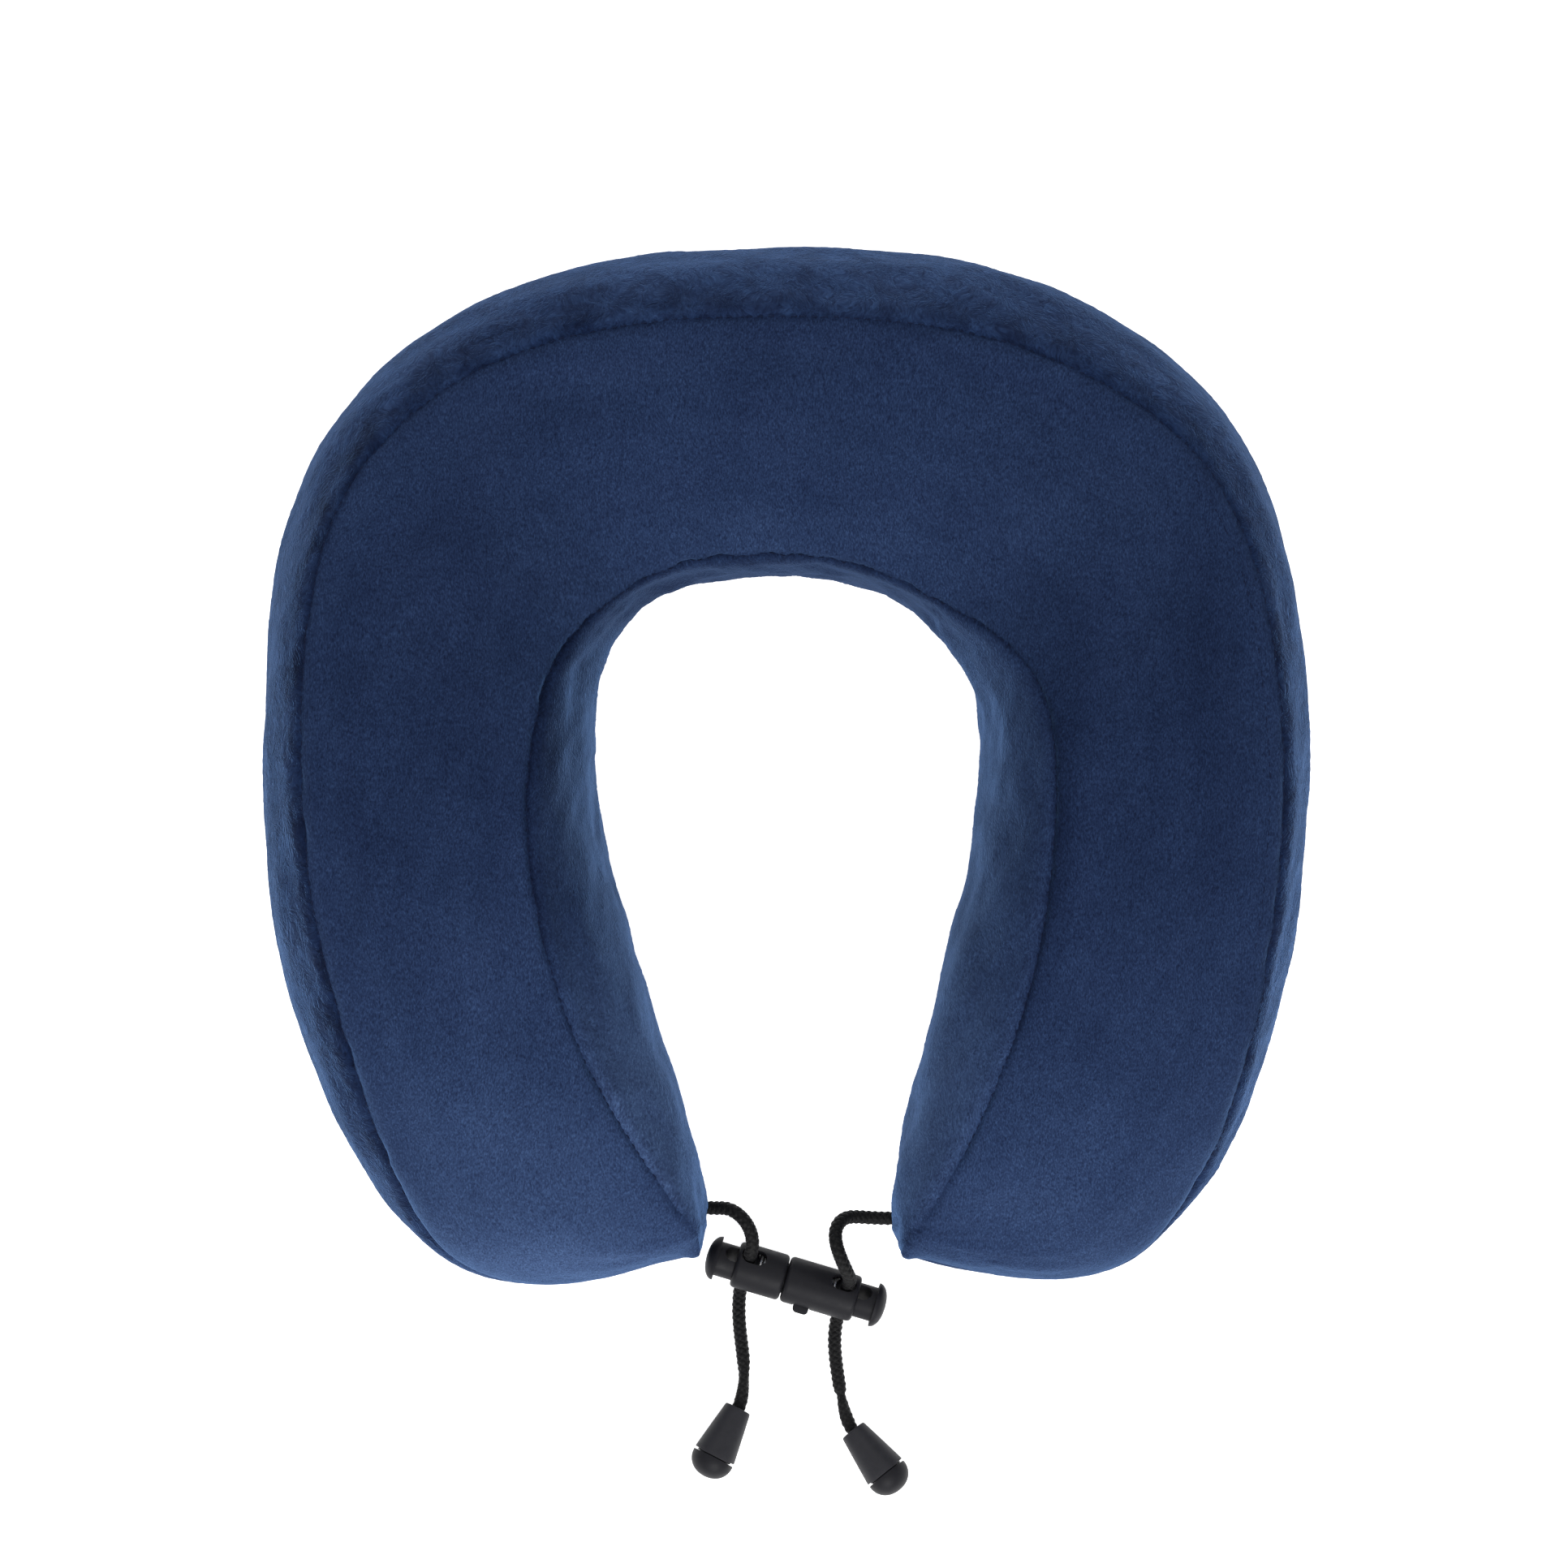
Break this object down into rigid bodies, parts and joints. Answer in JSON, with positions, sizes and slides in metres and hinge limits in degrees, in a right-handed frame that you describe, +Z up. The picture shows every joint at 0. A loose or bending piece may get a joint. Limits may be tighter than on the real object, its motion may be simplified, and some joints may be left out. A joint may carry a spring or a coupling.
{
  "type": "u shaped neck pillow",
  "caption": "Plush covered U shaped travel neck pillow with a zipped cover, and a corded snap clasp with spring cord locks and bell cord ends.",
  "frame": {"origin": "centre of the pillow's footprint, on its flat underside", "axes": "+Z up from the underside; +Y towards the back of the U; +X across, so the open end with the clasp faces -Y"},
  "size_m": [0.2992, 0.3644, 0.1138],
  "materials": {
    "plush": "short nap navy plush",
    "foam": "open cell foam, matt",
    "tape": "woven tape",
    "coil": "nylon",
    "zip_metal": "dark enamel",
    "cord": "braided cord",
    "black_plastic": "satin moulded plastic",
    "spring_steel": "drawn wire"
  },
  "bodies": {
    "pillow": {"top_panel": "plush", "outer_wall_panel": "plush", "inner_wall_panel": "plush", "bottom_panel": "plush", "foam_core": "foam", "zip_tape_back": "tape", "zip_tape_front": "tape", "zip_coil_back": "coil", "zip_coil_front": "coil", "zip_stop_left": "zip_metal", "zip_stop_right": "zip_metal", "left_upper_cord": "cord", "left_barrel": "black_plastic", "left_lock_spring": "spring_steel"},
    "zip_slider": {"zip_slider": "zip_metal"},
    "zip_pull": {"zip_pull": "zip_metal"},
    "right_lock": {"right_barrel": "black_plastic", "right_lock_spring": "spring_steel", "right_upper_cord": "cord"},
    "left_plunger": {"left_plunger": "black_plastic"},
    "right_plunger": {"right_plunger": "black_plastic"},
    "release_button": {"release_button": "black_plastic"},
    "left_tail": {"left_tail_cord": "cord", "left_bell": "black_plastic", "left_bell_cap": "black_plastic", "left_cord_knot": "cord"},
    "right_tail": {"right_tail_cord": "cord", "right_bell": "black_plastic", "right_bell_cap": "black_plastic", "right_cord_knot": "cord"}
  },
  "joints": [
    {"name": "zip_slide", "type": "slide", "parent": "pillow", "child": "zip_slider", "axis": [1, 0, 0], "range_m": [0, 0.126]},
    {"name": "zip_pull_hinge", "type": "hinge", "parent": "zip_slider", "child": "zip_pull", "pos_m": [-0.07, 0.1, 0.0022], "axis": [0, 1, 0], "range_deg": [0, 155]},
    {"name": "clasp_release", "type": "slide", "parent": "pillow", "child": "right_lock", "axis": [0.9588, -0.284, 0], "range_m": [0, 0.01], "deforming": ["right_upper_cord"]},
    {"name": "left_plunger_press", "type": "slide", "parent": "pillow", "child": "left_plunger", "axis": [0.9588, -0.284, 0], "range_m": [0, 0.0034], "stiffness_N_per_m": 1500, "springref_m": -0.002, "deforming": ["left_lock_spring"]},
    {"name": "right_plunger_press", "type": "slide", "parent": "right_lock", "child": "right_plunger", "axis": [-0.9588, 0.284, 0], "range_m": [0, 0.0034], "stiffness_N_per_m": 1500, "springref_m": -0.002, "deforming": ["right_lock_spring"]},
    {"name": "release_button_press", "type": "slide", "parent": "right_lock", "child": "release_button", "axis": [0.284, 0.9588, 0], "range_m": [0, 0.0006], "stiffness_N_per_m": 1000, "springref_m": -0.0005},
    {"name": "left_tail_swing", "type": "hinge", "parent": "pillow", "child": "left_tail", "pos_m": [-0.01273, -0.15128, 0.00529], "axis": [0, 0, 1], "range_deg": [-25, 15]},
    {"name": "right_tail_swing", "type": "hinge", "parent": "right_lock", "child": "right_tail", "pos_m": [0.01614, -0.15982, 0.00529], "axis": [0, 0, 1], "range_deg": [-15, 25]}
  ]
}
